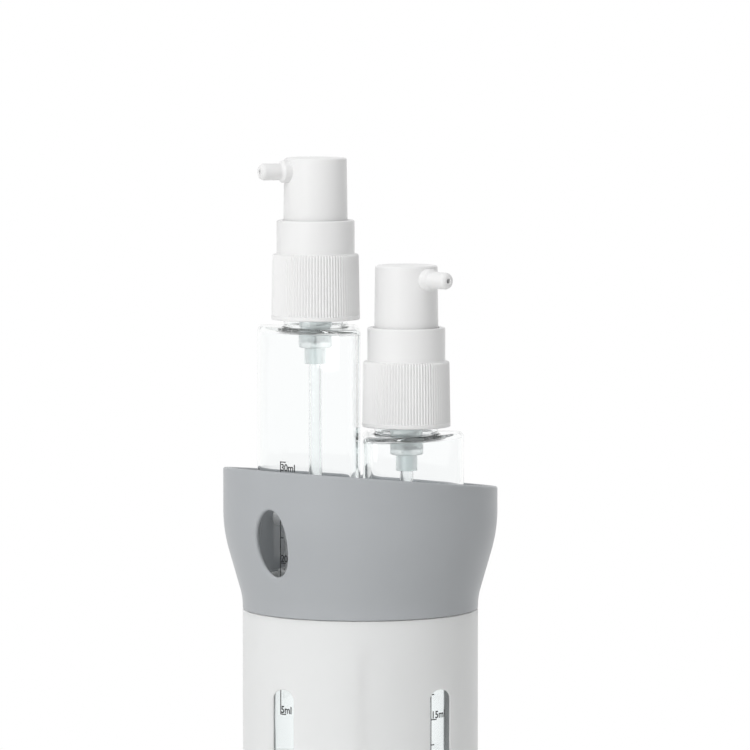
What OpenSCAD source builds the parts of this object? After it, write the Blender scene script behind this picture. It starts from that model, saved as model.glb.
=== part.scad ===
// A travel dispenser for four liquids. A round casing holds four clear bottles, each a quarter
// of its bore, and each bottle carries a small lotion pump. A collar on the casing turns to
// bring its outlet in front of the nozzle of the pump that is wanted. The casing stands on z = 0
// about the Z axis, the front is towards -Y, and sizes are in millimetres.

/* [Casing] */
// Outer diameter of the casing
casing_d = 58; // [52:0.5:70]
// Thickness of the casing's wall
casing_wall = 2.2; // [1.8:0.1:2.6]
// Height of the foot ring below the floor panel
foot_h = 2.4; // [1.5:0.1:4]
// Width of the foot ring
foot_ring_w = 4.5; // [3.5:0.5:7]
// Rounding of the foot's outer edge
foot_edge_r = 1; // [0.4:0.1:1.5]
// Thickness of the floor panel
floor_t = 2.2; // [1.5:0.1:4]
// Height of the seam under the head above the shoulders of the stowed bottles
seam_rise = 17.5; // [16:0.5:19]
// Width of the ribs that keep the bottles from turning in the casing
guide_w = 1.8; // [1.4:0.1:2]
// Distance of the ribs' tops below the seam
guide_drop = 8; // [5:0.5:20]

/* [Windows] */
// Width of a viewing window, seen along Y
window_w = 4.8; // [3:0.1:6]
// Height of a window's lower end above the floor panel
window_rise = 13; // [8:0.5:30]

/* [Head] */
// Distance by which the rim stands out from the casing
rim_out = 4.75; // [4:0.25:8]
// Wall thickness of the collar
head_wall = 1.4; // [1:0.1:1.6]
// Height of the middle of the rim over the tops of the stowed pumps
rim_rise = 8.8; // [7:0.2:15]
// Slope of the rim
rim_tilt = 6.2; // [0:0.2:7]
// Height of the straight band below the flare
flare_start = 0.6; // [0.4:0.1:1.5]
// Slope of the flare's straight part
flare_angle = 16; // [14:1:20]
// Radius of the flare's hollow lower bend
flare_low_r = 15; // [8:1:20]
// Radius of the flare's round upper bend
flare_high_r = 36; // [25:1:45]

/* [Head joint] */
// Height of the casing's spigot inside the collar
spigot_h = 7.2; // [5:0.1:8]
// Wall thickness of the spigot
spigot_wall = 1.1; // [0.9:0.1:1.3]
// Radial clearance between the spigot and the collar
spigot_fit = 0.1; // [0.05:0.01:0.1]
// Height of the gap at the seam
seam_gap = 0.15; // [0.1:0.05:0.3]
// Radius of the snap bead on the spigot
bead_r = 0.4; // [0.3:0.05:0.5]
// Height by which the bead stands out of the spigot
bead_out = 0.3; // [0.2:0.05:0.35]
// Height of the bead above the seam
bead_rise = 5; // [3:0.2:5.5]

/* [Outlet] */
// Width of the oval outlet
outlet_w = 9.7; // [7:0.1:14]
// Height of the oval outlet
outlet_h = 16.5; // [12:0.1:18]
// Angle of the outlet to the left of the front
outlet_turn = 42; // [0:1:90]

/* [Bottle] */
// Height of a bottle to its shoulder
bottle_h = 106.8; // [80:0.2:160]
// Gap between a bottle's round side and the casing
bottle_gap = 1; // [0.5:0.1:1.5]
// Distance of a bottle's flat sides from the planes between the bottles
side_gap = 0.3; // [0.2:0.05:0.6]
// Gap between a stowed bottle and the floor panel
floor_gap = 0.1; // [0.05:0.05:0.5]
// Radius of the two outer upright corners
corner_r = 4.2; // [3:0.1:6]
// Radius of the inner upright corner
inner_corner_r = 2.4; // [2:0.1:4]
// Radius of the edges at the shoulder and the base
bottle_edge_r = 1.2; // [0.6:0.1:1.6]
// Wall thickness of a bottle
bottle_wall = 1; // [0.8:0.05:1.4]
// Thickness of a bottle's base
bottle_base_t = 1.4; // [1:0.1:3]
// Wall thickness of the neck without its thread
neck_wall = 1.4; // [1:0.05:1.8]
// Room for the thread between the neck and the closure's skirt
thread_room = 1.15; // [0.9:0.05:1.3]

/* [Closure] */
// Gap between neighbouring closures
pump_gap = 0.5; // [0.3:0.05:1]
// Gap between the closures and the casing's bore
closure_gap = 0.37; // [0.3:0.01:0.6]
// Height of the ribbed skirt
closure_h = 16; // [12:0.2:20]
// Number of grip ribs
rib_count = 90; // [48:6:120]
// Depth of the grooves between the ribs
rib_depth = 0.3; // [0.15:0.05:0.45]
// Set-back of the ribs' tops from the plain band
rib_inset = 0.05; // [0.03:0.01:0.1]
// Height of the plain band under the ribs
band_h = 1; // [0.5:0.1:2]
// Gap between the closure and the bottle's shoulder
shoulder_gap = 1.85; // [1:0.05:3]
// Wall thickness of the skirt
skirt_wall = 1.85; // [1.5:0.05:2.2]
// Thickness of the deck that clamps the pump
deck_t = 1.6; // [1.2:0.1:2.5]
// Set-back of the smooth tower from the ribbed skirt
tower_inset = 1.3; // [0.8:0.05:1.8]
// Height of the tower above the deck
tower_h = 8.2; // [7:0.1:10]
// Wall thickness of the tower
tower_wall = 1.35; // [0.9:0.05:1.4]
// Rounding of the tower's top edge
tower_edge_r = 0.4; // [0.2:0.1:0.5]

/* [Pump] */
// Gap between the flange that rests on the neck and the skirt
flange_gap = 0.35; // [0.2:0.05:0.6]
// Thickness of the flange
flange_t = 1.5; // [1:0.1:2]
// Thickness of the gasket under the flange
gasket_t = 1; // [0.6:0.1:1.5]
// Bore of the pump barrel
barrel_bore_d = 6.4; // [5.9:0.1:7]
// Wall thickness of the pump barrel
barrel_wall = 0.8; // [0.6:0.05:1]
// Reach of the barrel below the shoulder
barrel_reach = 5; // [3:0.1:8]
// Thickness of the barrel's floor
barrel_floor_t = 1.4; // [1:0.1:2]
// Wall thickness of the tail that holds the dip tube
tail_wall = 1; // [0.7:0.1:1.3]
// Length of the tail
tail_l = 4; // [3:0.1:6]
// Outer diameter of the dip tube
tube_d = 3.2; // [2.6:0.1:3.6]
// Wall thickness of the dip tube
tube_wall = 0.5; // [0.4:0.05:0.8]
// Distance of the dip tube's end from the bottle's base
tube_end_gap = 2; // [1:0.1:4]
// Angle of the cut across the dip tube's end
tube_cut = 35; // [0:5:45]
// Diameter of the check ball
ball_d = 2.6; // [2.2:0.1:3.2]
// Diameter of the valve seat under the ball
seat_d = 1.8; // [1.4:0.1:2]
// Gap between the return spring and the barrel
spring_room = 0.4; // [0.3:0.05:0.6]
// Diameter of the spring's wire
wire_d = 0.5; // [0.4:0.05:0.6]
// Turns of the return spring
spring_turns = 4.5; // [3:0.5:5]
// Length of the return spring at rest
spring_l = 8; // [7.5:0.1:9]
// Outer diameter of the stem
stem_d = 3.8; // [3.4:0.1:4.2]
// Wall thickness of the stem
stem_wall = 0.9; // [0.7:0.05:1.1]
// Distance by which the stem's foot stands out under the piston
stem_foot_out = 0.7; // [0.5:0.05:1]
// Thickness of the stem's foot
stem_foot_t = 0.6; // [0.5:0.1:1]
// Diameter of the inlet holes across the stem
inlet_d = 1; // [0.6:0.1:1.4]
// Height of the piston seal
piston_h = 4; // [3:0.1:4.5]
// Distance by which the cap that closes the barrel stands out over its bore
cap_out = 1.8; // [1.2:0.1:2.2]
// Height of that cap above the flange
cap_h = 2.35; // [2:0.05:3]
// Length of the cap's plug inside the barrel
plug_l = 3.4; // [2:0.1:3.6]
// Radial clearance of the pump's sliding pieces
slide_fit = 0.05; // [0.02:0.01:0.08]

/* [Actuator] */
// Travel of the actuator when it is pressed
stroke = 4; // [3:0.1:4]
// Gap between the actuator's lower edge and the tower's bore
actuator_gap = 0.3; // [0.2:0.05:0.5]
// Narrowing of the actuator from its lower edge to its top, on each side
actuator_draft = 0.25; // [0.1:0.05:0.5]
// Height of the actuator's top above the nozzle's axis
actuator_rise = 3.3; // [3:0.1:4.5]
// Depth by which the actuator's skirt enters the tower
skirt_depth = 3.6; // [2:0.1:3.6]
// Wall thickness of the actuator
actuator_wall = 1.2; // [0.9:0.1:1.5]
// Rounding of the actuator's top edge
actuator_edge_r = 0.5; // [0.3:0.1:0.8]
// Depth of the finger dish in the top
dish_depth = 0.4; // [0.2:0.1:0.6]
// Height of the nozzle's axis above the tower
nozzle_rise = 11.85; // [10:0.05:14]
// Diameter of the nozzle
nozzle_d = 4.1; // [3.6:0.1:4.6]
// Bore of the nozzle
nozzle_bore_d = 1.6; // [1:0.1:2]
// Bore of the nozzle's tip
orifice_d = 1.1; // [0.8:0.1:1.4]
// Rounding of the nozzle's tip
nozzle_edge_r = 0.5; // [0.3:0.1:0.7]
// Gap between the tip of a stowed nozzle and the collar
nozzle_gap = 0.3; // [0.25:0.01:0.5]
// Wall thickness of the hub that holds the stem
hub_wall = 1.3; // [0.9:0.1:1.8]
// Depth of the stem in the hub
stem_grip = 7.6; // [6:0.1:9]

/* [Rest pose] */
// Height to which the front left bottle is drawn out
lift_front_left = 87.7; // [0:0.1:160]
// Height to which the front right bottle is drawn out
lift_front_right = 61.5; // [0:0.1:160]
// Turn of the front left nozzle from straight outwards
nozzle_turn_left = -21; // [-75:1:75]
// Turn of the front right nozzle from straight outwards
nozzle_turn_right = -3; // [-75:1:75]

/* [Hidden] */
UNITS = [1, 2, 3, 4];
UNIT_PIECES = ["bottle", "closure", "actuator", "neck_gasket", "pump_housing", "housing_cap",
  "dip_tube", "check_ball", "return_spring", "pump_stem", "piston_seal"];

// Units 1 and 2 stand at the front left and front right, 3 and 4 at the back right and back left
quarter = 90;
full_turn = 360;
unit_turns = [2 * quarter, 3 * quarter, 0, quarter];
unit_lifts = [lift_front_left, lift_front_right, 0, 0];
nozzle_turns = [nozzle_turn_left, nozzle_turn_right, 0, 0];
// Overrun of a cut past the face that it opens
cut = 1;
// Facets of large and small round pieces
fine = 128;
small = 48;
// Angles of the points between the two ends of a small rounding in an outline
rounding = [15 : 15 : 75];
// Steps along each arc of the flare, and along the oval
flare_steps = 8;
oval_steps = 60;

casing_r = casing_d / 2;
bore_r = casing_r - casing_wall;
bottle_r = bore_r - bottle_gap;
floor_z = foot_h + floor_t;
bottle_z = floor_z + floor_gap;
shoulder_z = bottle_z + bottle_h;
seam_z = shoulder_z + seam_rise;
// The closures are as wide as four of them can be in the bore, with the gaps named above
closure_d = (sqrt(2) * (bore_r - closure_gap) - pump_gap) / (1 + 1 / sqrt(2));
// Distance of a pump's axis from the casing's axis, and its offset along X and along Y
pump_r = bore_r - closure_gap - closure_d / 2;
pump_offset = pump_r / sqrt(2);

// Diameters of the pump's pieces, from the outside inwards
skirt_bore_d = closure_d - 2 * skirt_wall;
tower_d = closure_d - 2 * tower_inset;
actuator_d = tower_d - 2 * tower_wall - 2 * actuator_gap;
actuator_top_d = actuator_d - 2 * actuator_draft;
neck_d = skirt_bore_d - 2 * thread_room;
neck_bore_d = neck_d - 2 * neck_wall;
flange_d = skirt_bore_d - 2 * flange_gap;
barrel_d = barrel_bore_d + 2 * barrel_wall;
cap_d = barrel_bore_d + 2 * cap_out;
spring_d = barrel_bore_d - 2 * spring_room;
tail_d = tube_d + 2 * tail_wall;
tube_bore_d = tube_d - 2 * tube_wall;
stem_bore_d = stem_d - 2 * stem_wall;
stem_foot_d = stem_d + 2 * stem_foot_out;
hub_d = stem_d + 2 * hub_wall;

// Heights above the shoulder of a unit's own bottle
closure_top = shoulder_gap + closure_h;
deck_under = closure_top - deck_t;
flange_under = deck_under - flange_t;
neck_h = flange_under - gasket_t;
tower_top = closure_top + tower_h;
nozzle_z = tower_top + nozzle_rise;
actuator_top = nozzle_z + actuator_rise;
skirt_under = tower_top - skirt_depth;
cap_top = deck_under + cap_h;
barrel_floor = barrel_floor_t - barrel_reach;
spring_top = barrel_floor + spring_l;
piston_under = spring_top + stem_foot_t;
hub_under = skirt_under + actuator_wall;
stem_top = hub_under + stem_grip;
// The dip tube ends a quarter of the barrel's floor inside the tail's socket
tube_top = -barrel_reach - barrel_floor_t / 4;

// Heights of a stowed pump above the table
outlet_z = shoulder_z + nozzle_z - stroke / 2;
rim_z = shoulder_z + actuator_top + rim_rise;
pressed_nozzle_z = shoulder_z + nozzle_z - stroke - nozzle_d / 2;

// The flare is a hollow arc, a straight slope and a round arc, each tangent to the next
rim_r = casing_r + rim_out;
rim_d = 2 * rim_r;
spigot_r = bore_r + spigot_wall;
flare_z = seam_z + seam_gap + flare_start;
flare_line = (rim_r - casing_r - (flare_low_r + flare_high_r) * (1 - cos(flare_angle)))
  / sin(flare_angle);
slope_z = flare_z + flare_low_r * sin(flare_angle);
bend_z = slope_z + flare_line * cos(flare_angle);
flare_top_z = bend_z + flare_high_r * sin(flare_angle);
flare_low_arc = [for (i = [0 : flare_steps]) let (a = flare_angle * i / flare_steps)
  [casing_r + flare_low_r * (1 - cos(a)), flare_z + flare_low_r * sin(a)]];
flare_high_arc = [for (i = [flare_steps : -1 : 0]) let (a = flare_angle * i / flare_steps)
  [rim_r - flare_high_r * (1 - cos(a)), flare_top_z - flare_high_r * sin(a)]];
// The collar's bore steps out above the spigot
inner_step_z = seam_z + spigot_h + 2 * seam_gap;

// Outer radius of the collar at a height on its straight slope
function slope_r(z) = casing_r + flare_low_r * (1 - cos(flare_angle)) + (z - slope_z) * tan(flare_angle);

// The nozzle is as long as the collar allows at the bottom of its stroke
tip_r = slope_r(min(pressed_nozzle_z, bend_z)) - head_wall - nozzle_gap;
nozzle_l = sqrt(tip_r * tip_r - nozzle_d * nozzle_d / 4) - pump_r;

// Centre of the rounding of a bottle's outer upright corner, along its flat side
function corner_x(r, side, corner) = sqrt(pow(r - corner, 2) - pow(side + corner, 2));

// The guide ribs end where they would come closer than this to the bottles' corners
guide_gap = 0.4;
guide_reach = side_gap + corner_r - guide_w / 2 - guide_gap;
guide_nose_r = corner_x(bottle_r, side_gap, corner_r) + sqrt(pow(corner_r, 2) - pow(guide_reach, 2));

// The edges inside a bottle have half the rounding of those outside
inner_edge_r = bottle_edge_r / 2;

// The finger dish reaches from one rounded edge of the top to the other
dish_reach = actuator_top_d / 2 - 2 * actuator_edge_r;
dish_r = (dish_reach * dish_reach + dish_depth * dish_depth) / (2 * dish_depth);

// The window's middle lies over the middle of the bottle's round side
window_x = bore_r * sin(quarter / 2);
window_z = floor_z + window_rise;

module in_place(unit) {
  translate([0, 0, bottle_z + unit_lifts[unit - 1]]) rotate(unit_turns[unit - 1]) children();
}

module on_pump_axis() {
  translate([pump_offset, pump_offset, bottle_h]) children();
}

// A ring between two radii and two heights
module ring(r_out, r_in, z_low, z_high) {
  translate([0, 0, z_low]) difference() {
    cylinder(h = z_high - z_low, r = r_out, $fn = small);
    translate([0, 0, -cut]) cylinder(h = z_high - z_low + 2 * cut, r = r_in, $fn = small);
  }
}

// Half of a round bar's outline: straight on the axis, with the outer corners rounded
module round_edged_half(r, h, edge) {
  square([r - edge, h]);
  translate([0, edge]) square([r, h - 2 * edge]);
  for (z = [edge, h - edge]) translate([r - edge, z]) circle(edge, $fn = small);
}

// The outline of a slab from a flat side outwards, with that side's corners rounded
module round_edged_side(side, reach, h, edge) {
  translate([side + edge, 0]) square([reach - side - edge, h]);
  translate([side, edge]) square([reach - side, h - 2 * edge]);
  for (z = [edge, h - edge]) translate([side + edge, z]) circle(edge, $fn = small);
}

// A quarter of a disc, with flat sides set off from X and Y and its three corners rounded
module quarter_outline(r, side, corner, inner) {
  x = corner_x(r, side, corner);
  y = side + corner;
  tip = [x, y] * r / (r - corner);
  far = r * sqrt(2);
  intersection() {
    circle(r, $fn = fine);
    polygon([[0, 0], [x, y] * far / (r - corner), [far, far], [y, x] * far / (r - corner)]);
  }
  for (c = [[x, y], [y, x]]) translate(c) circle(corner, $fn = small);
  translate([side + inner, side + inner]) circle(inner, $fn = small);
  polygon([[side + inner, side], [x, side], [x, y], tip, [tip[1], tip[0]], [y, x], [side, x],
    [side, side + inner], [side + inner, side + inner]]);
}

// A quarter column with its upper and lower edges rounded
module quarter_column(r, side, corner, inner, h, edge) {
  intersection() {
    linear_extrude(h) quarter_outline(r, side, corner, inner);
    rotate_extrude($fn = fine) round_edged_half(r, h, edge);
    rotate([quarter, 0, quarter]) linear_extrude(r) round_edged_side(side, r, h, edge);
    mirror([1, -1, 0]) rotate([quarter, 0, quarter]) linear_extrude(r)
      round_edged_side(side, r, h, edge);
  }
}

// Foot ring, floor, wall and spigot in one outline, with the bead that the head snaps over
module casing_body() {
  chamfer = spigot_wall / 3;
  color("white") difference() {
    union() {
      rotate_extrude($fn = fine) polygon([
        [0, foot_h], [casing_r - foot_ring_w, foot_h], [casing_r - foot_ring_w, 0],
        [casing_r - foot_edge_r, 0],
        for (a = rounding) [casing_r - foot_edge_r * (1 - sin(a)), foot_edge_r * (1 - cos(a))],
        [casing_r, foot_edge_r], [casing_r, seam_z], [spigot_r, seam_z],
        [spigot_r, seam_z + spigot_h - chamfer], [spigot_r - chamfer, seam_z + spigot_h],
        [bore_r, seam_z + spigot_h], [bore_r, floor_z], [0, floor_z]]);
      rotate_extrude($fn = fine)
        translate([spigot_r + bead_out - bead_r, seam_z + bead_rise]) circle(bead_r, $fn = small);
      guides();
    }
    windows();
  }
}

// Four upright ribs that stand in the corners between the bottles, rooted half a wall deep in
// the floor and the wall, with round noses and sloping tops
module guides() {
  root_z = floor_z - floor_t / 2;
  top = seam_z - guide_drop;
  nose_x = guide_nose_r + guide_w / 2;
  slope = 2 * (bore_r - guide_nose_r);
  for (turn = unit_turns) rotate(turn) difference() {
    translate([0, 0, root_z]) union() {
      translate([nose_x, 0, 0]) cylinder(h = top - root_z, d = guide_w, $fn = small);
      translate([nose_x, -guide_w / 2, 0])
        cube([bore_r + casing_wall / 2 - nose_x, guide_w, top - root_z]);
    }
    translate([bore_r, -guide_w, top]) rotate([0, -quarter / 2, 0]) translate([-slope, 0, 0])
      cube([slope, 2 * guide_w, slope]);
  }
}

// Windows with round ends, cut straight through the front and the back
module windows() {
  for (x = [-window_x, window_x]) translate([x, 0, 0]) rotate([quarter, 0, 0])
    translate([0, 0, -casing_r - cut]) linear_extrude(casing_d + 2 * cut) {
      translate([-window_w / 2, window_z + window_w / 2])
        square([window_w, shoulder_z - window_z - window_w]);
      for (z = [window_z + window_w / 2, shoulder_z - window_w / 2])
        translate([0, z]) circle(d = window_w, $fn = small);
    }
}

// A turned shell with a groove for the bead, cut off along the slope of its rim
module head_collar() {
  color("darkgray") difference() {
    rotate_extrude($fn = fine) difference() {
      polygon([
        [spigot_r + spigot_fit, seam_z + seam_gap], [casing_r, seam_z + seam_gap],
        each flare_low_arc, each flare_high_arc,
        [rim_r, rim_z + rim_d], [rim_r - head_wall, rim_z + rim_d],
        for (i = [len(flare_high_arc) - 1 : -1 : 0]) flare_high_arc[i] - [head_wall, 0],
        [slope_r(inner_step_z) - head_wall, inner_step_z],
        [spigot_r + spigot_fit, inner_step_z]]);
      translate([spigot_r + bead_out - bead_r, seam_z + bead_rise])
        circle(bead_r + spigot_fit, $fn = small);
    }
    // The rim's plane is highest on the side of the outlet
    translate([0, 0, rim_z]) rotate(-quarter - outlet_turn) rotate([0, -rim_tilt, 0])
      cylinder(h = 2 * rim_d, r = rim_d, $fn = small);
    rotate(-quarter - outlet_turn) translate([0, 0, outlet_z]) rotate([quarter, 0, quarter])
      linear_extrude(rim_r + cut) oval(outlet_w, outlet_h);
  }
}

module oval(w, h) {
  polygon([for (i = [1 : oval_steps]) let (a = full_turn * i / oval_steps)
    [w / 2 * cos(a), h / 2 * sin(a)]]);
}

module bottle() {
  color("azure", 0.4) difference() {
    union() {
      quarter_column(bottle_r, side_gap, corner_r, inner_corner_r, bottle_h, bottle_edge_r);
      on_pump_axis() translate([0, 0, -bottle_wall / 2])
        cylinder(h = neck_h + bottle_wall / 2, d = neck_d, $fn = small);
    }
    translate([0, 0, bottle_base_t])
      quarter_column(bottle_r - bottle_wall, side_gap + bottle_wall, corner_r - bottle_wall,
        inner_corner_r - bottle_wall, bottle_h - bottle_base_t - bottle_wall,
        inner_edge_r);
    on_pump_axis() translate([0, 0, -bottle_wall - cut])
      cylinder(h = neck_h + bottle_wall + 2 * cut, d = neck_bore_d, $fn = small);
  }
}

// Ribs all round, each a flat-topped ridge between two sloping flanks
module ribbed_outline() {
  step = full_turn / rib_count;
  high = closure_d / 2 - rib_inset;
  low = high - rib_depth;
  // Shares of one step at which the flank rises, the top starts, the top ends and the flank falls
  flank_shares = [0.18, 0.38, 0.62, 0.82];
  levels = [low, high, high, low];
  polygon([for (i = [0 : rib_count - 1], k = [0 : 3])
    levels[k] * [cos(step * (i + flank_shares[k])), sin(step * (i + flank_shares[k]))]]);
}

module closure() {
  cap_hole_d = cap_d + 4 * slide_fit;
  color("white") on_pump_axis() difference() {
    union() {
      translate([0, 0, shoulder_gap + band_h / 2])
        linear_extrude(closure_h - band_h / 2) ribbed_outline();
      translate([0, 0, shoulder_gap]) cylinder(h = band_h, d = closure_d, $fn = fine);
      rotate_extrude($fn = fine) {
        translate([0, closure_top - deck_t]) square([tower_d / 2, tower_h + deck_t - tower_edge_r]);
        translate([0, closure_top]) square([tower_d / 2 - tower_edge_r, tower_h]);
        translate([tower_d / 2 - tower_edge_r, tower_top - tower_edge_r])
          circle(tower_edge_r, $fn = small);
      }
    }
    translate([0, 0, shoulder_gap - cut])
      cylinder(h = closure_h - deck_t + cut, d = skirt_bore_d, $fn = fine);
    translate([0, 0, deck_under - cut])
      cylinder(h = deck_t + 2 * cut, d = cap_hole_d, $fn = small);
    translate([0, 0, closure_top])
      cylinder(h = tower_h + cut, r = tower_d / 2 - tower_wall, $fn = fine);
  }
}

module neck_gasket() {
  color("gainsboro") on_pump_axis()
    ring(flange_d / 2, barrel_d / 2, neck_h, flange_under);
}

module pump_housing() {
  tail_under = -barrel_reach - tail_l;
  color("paleturquoise") on_pump_axis() rotate_extrude($fn = small) polygon([
    [seat_d / 2, barrel_floor], [barrel_bore_d / 2, barrel_floor],
    [barrel_bore_d / 2, deck_under], [flange_d / 2, deck_under], [flange_d / 2, flange_under],
    [barrel_d / 2, flange_under], [barrel_d / 2, -barrel_reach], [tail_d / 2, -barrel_reach],
    [tail_d / 2, tail_under], [tube_d / 2, tail_under], [tube_d / 2, tube_top],
    [seat_d / 2, tube_top]]);
}

module housing_cap() {
  color("whitesmoke") on_pump_axis() {
    bore = stem_d / 2 + slide_fit;
    rotate_extrude($fn = small) polygon([
      [bore, deck_under - plug_l], [barrel_bore_d / 2, deck_under - plug_l],
      [barrel_bore_d / 2, deck_under], [cap_d / 2, deck_under], [cap_d / 2, cap_top],
      [bore, cap_top]]);
  }
}

module dip_tube() {
  end = tube_end_gap + bottle_base_t - bottle_h;
  color("aliceblue") on_pump_axis() difference() {
    ring(tube_d / 2, tube_bore_d / 2, end, tube_top);
    translate([-tube_d / 2, 0, end]) rotate([0, -tube_cut, 0])
      translate([-tube_d, -tube_d, -2 * tube_d]) cube([4 * tube_d, 2 * tube_d, 2 * tube_d]);
  }
}

// The ball rests on the edge of its seat
module check_ball() {
  rise = sqrt(ball_d * ball_d - seat_d * seat_d) / 2;
  color("silver") on_pump_axis() translate([0, 0, barrel_floor + rise])
    sphere(d = ball_d, $fn = small);
}

// One unbroken wire: a helix whose rings of points stand upright across the wire
module return_spring() {
  rings_per_turn = 8;
  rings = rings_per_turn * spring_turns;
  sides = 6;
  coil_r = (spring_d - wire_d) / 2;
  rise = (spring_l - wire_d) / rings;
  points = [for (i = [0 : rings], k = [0 : sides - 1])
    let (turn = i * full_turn / rings_per_turn, a = k * full_turn / sides)
    [(coil_r + wire_d / 2 * cos(a)) * cos(turn), (coil_r + wire_d / 2 * cos(a)) * sin(turn),
      barrel_floor + wire_d / 2 + rise * i + wire_d / 2 * sin(a)]];
  echo(spring_gap = rise * rings_per_turn - wire_d);
  walls = [for (i = [0 : rings - 1], k = [0 : sides - 1]) let (n = (k + 1) % sides)
    each [[i * sides + k, i * sides + n, (i + 1) * sides + n],
      [i * sides + k, (i + 1) * sides + n, (i + 1) * sides + k]]];
  ends = [for (k = [1 : sides - 2])
    each [[0, k + 1, k], [rings * sides, rings * sides + k, rings * sides + k + 1]]];
  color("silver") on_pump_axis()
    polyhedron(points, [for (f = concat(walls, ends)) [f[2], f[1], f[0]]]);
}

module pump_stem() {
  color("whitesmoke") on_pump_axis() difference() {
    union() {
      translate([0, 0, spring_top]) cylinder(h = stem_foot_t, d = stem_foot_d, $fn = small);
      translate([0, 0, spring_top]) cylinder(h = stem_top - spring_top, d = stem_d, $fn = small);
    }
    translate([0, 0, piston_under])
      cylinder(h = stem_top - piston_under + cut, d = stem_bore_d, $fn = small);
    translate([0, 0, piston_under + piston_h + inlet_d]) rotate([quarter, 0, 0])
      cylinder(h = 2 * stem_d, d = inlet_d, center = true, $fn = small);
  }
}

module piston_seal() {
  // Share of the piston's wall by which its middle is drawn in, and share of its height in each lip
  waist_share = 0.2;
  lip_share = 0.25;
  r = barrel_bore_d / 2 - slide_fit;
  waist = r - waist_share * (r - stem_d / 2);
  lip = lip_share * piston_h;
  color("white") on_pump_axis() translate([0, 0, piston_under]) rotate_extrude($fn = small)
    polygon([[stem_d / 2, 0], [r, 0], [waist, lip], [waist, piston_h - lip], [r, piston_h],
      [stem_d / 2, piston_h]]);
}

module actuator(turn) {
  color("white") on_pump_axis() rotate(quarter / 2 + turn) difference() {
    union() {
      rotate_extrude($fn = fine) actuator_outline();
      translate([0, 0, nozzle_z]) rotate([0, quarter, 0]) rotate_extrude($fn = small) nozzle_outline();
    }
    translate([0, 0, hub_under - cut])
      cylinder(h = stem_grip + cut, d = stem_d + 2 * slide_fit, $fn = small);
    translate([0, 0, hub_under]) cylinder(h = nozzle_z - hub_under, d = nozzle_bore_d, $fn = small);
    translate([0, 0, nozzle_z]) rotate([0, quarter, 0]) {
      cylinder(h = nozzle_l - nozzle_d / 2, d = nozzle_bore_d, $fn = small);
      cylinder(h = nozzle_l + cut, d = orifice_d, $fn = small);
    }
    translate([0, 0, actuator_top - dish_depth + dish_r]) sphere(dish_r, $fn = fine);
  }
}

// Skirt, top and hub in one outline
module actuator_outline() {
  low = actuator_d / 2;
  high = actuator_top_d / 2;
  under = actuator_top - actuator_wall - dish_depth;
  polygon([
    [low - actuator_wall, skirt_under], [low, skirt_under],
    [high, actuator_top - actuator_edge_r],
    for (a = rounding)
      [high - actuator_edge_r * (1 - cos(a)), actuator_top - actuator_edge_r * (1 - sin(a))],
    [high - actuator_edge_r, actuator_top], [0, actuator_top], [0, hub_under], [hub_d / 2, hub_under],
    [hub_d / 2, under], [high - actuator_wall, under]]);
}

// The nozzle swells where it leaves the actuator, and its tip is rounded
module nozzle_outline() {
  r = nozzle_d / 2;
  wall = actuator_top_d / 2;
  swell = r / 4;
  polygon([
    [0, 0], [r, 0], [r, wall - actuator_wall], [r + swell, wall - actuator_wall],
    [r + swell, wall], [r + swell / 3, wall + swell], [r, wall + 2 * swell],
    [r, nozzle_l - nozzle_edge_r],
    for (a = rounding)
      [r - nozzle_edge_r * (1 - cos(a)), nozzle_l - nozzle_edge_r * (1 - sin(a))],
    [r - nozzle_edge_r, nozzle_l], [0, nozzle_l]]);
}

casing_body();
head_collar();
for (i = UNITS) {
  in_place(i) bottle();
  in_place(i) closure();
  in_place(i) actuator(nozzle_turns[i - 1]);
  in_place(i) neck_gasket();
  in_place(i) pump_housing();
  in_place(i) housing_cap();
  in_place(i) dip_tube();
  in_place(i) check_ball();
  in_place(i) return_spring();
  in_place(i) pump_stem();
  in_place(i) piston_seal();
}
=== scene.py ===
# %% [markdown]
# # A travel dispenser for four liquids
#
# The real object is a white plastic tube with four clear bottles in it, each a quarter of a round
# and each with a small lotion pump. A grey collar turns on the tube until its oval outlet stands
# in front of the nozzle of the pump that is wanted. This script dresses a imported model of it, in
# which every piece already has its true size and place. Each visible piece is made again as a
# fine surface with numpy, and gets the finish of the real plastic.

import math

import bmesh
import bpy
import numpy as np
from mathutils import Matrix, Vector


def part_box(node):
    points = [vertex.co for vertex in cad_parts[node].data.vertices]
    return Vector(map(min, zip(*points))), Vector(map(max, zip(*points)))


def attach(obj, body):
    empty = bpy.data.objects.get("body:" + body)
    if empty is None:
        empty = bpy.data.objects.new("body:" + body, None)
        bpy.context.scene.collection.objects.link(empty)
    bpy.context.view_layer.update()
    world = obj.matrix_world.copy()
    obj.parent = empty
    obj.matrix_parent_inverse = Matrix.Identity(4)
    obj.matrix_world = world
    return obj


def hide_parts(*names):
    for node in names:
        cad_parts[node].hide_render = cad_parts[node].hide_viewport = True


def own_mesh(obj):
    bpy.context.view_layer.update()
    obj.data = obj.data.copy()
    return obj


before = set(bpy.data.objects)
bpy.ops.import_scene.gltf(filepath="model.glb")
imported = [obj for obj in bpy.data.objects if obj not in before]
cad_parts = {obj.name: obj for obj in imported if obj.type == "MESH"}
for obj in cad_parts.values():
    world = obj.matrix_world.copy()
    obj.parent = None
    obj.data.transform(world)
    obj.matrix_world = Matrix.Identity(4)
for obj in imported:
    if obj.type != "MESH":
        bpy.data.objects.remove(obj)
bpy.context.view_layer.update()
MM = 0.001
print("nodes in the packed model:", len(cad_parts))

# %% [markdown]
# ## Camera
# The photograph was taken with a long lens, because the casing's edges hardly run together. The
# curves of the seam and the rims give the camera's height, and the sizes of the near and the far
# bottles give its distance. The outlet and the printed scales show that it stood one degree to
# the left of the front. The focal length follows from the pixels that a millimetre takes.

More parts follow.
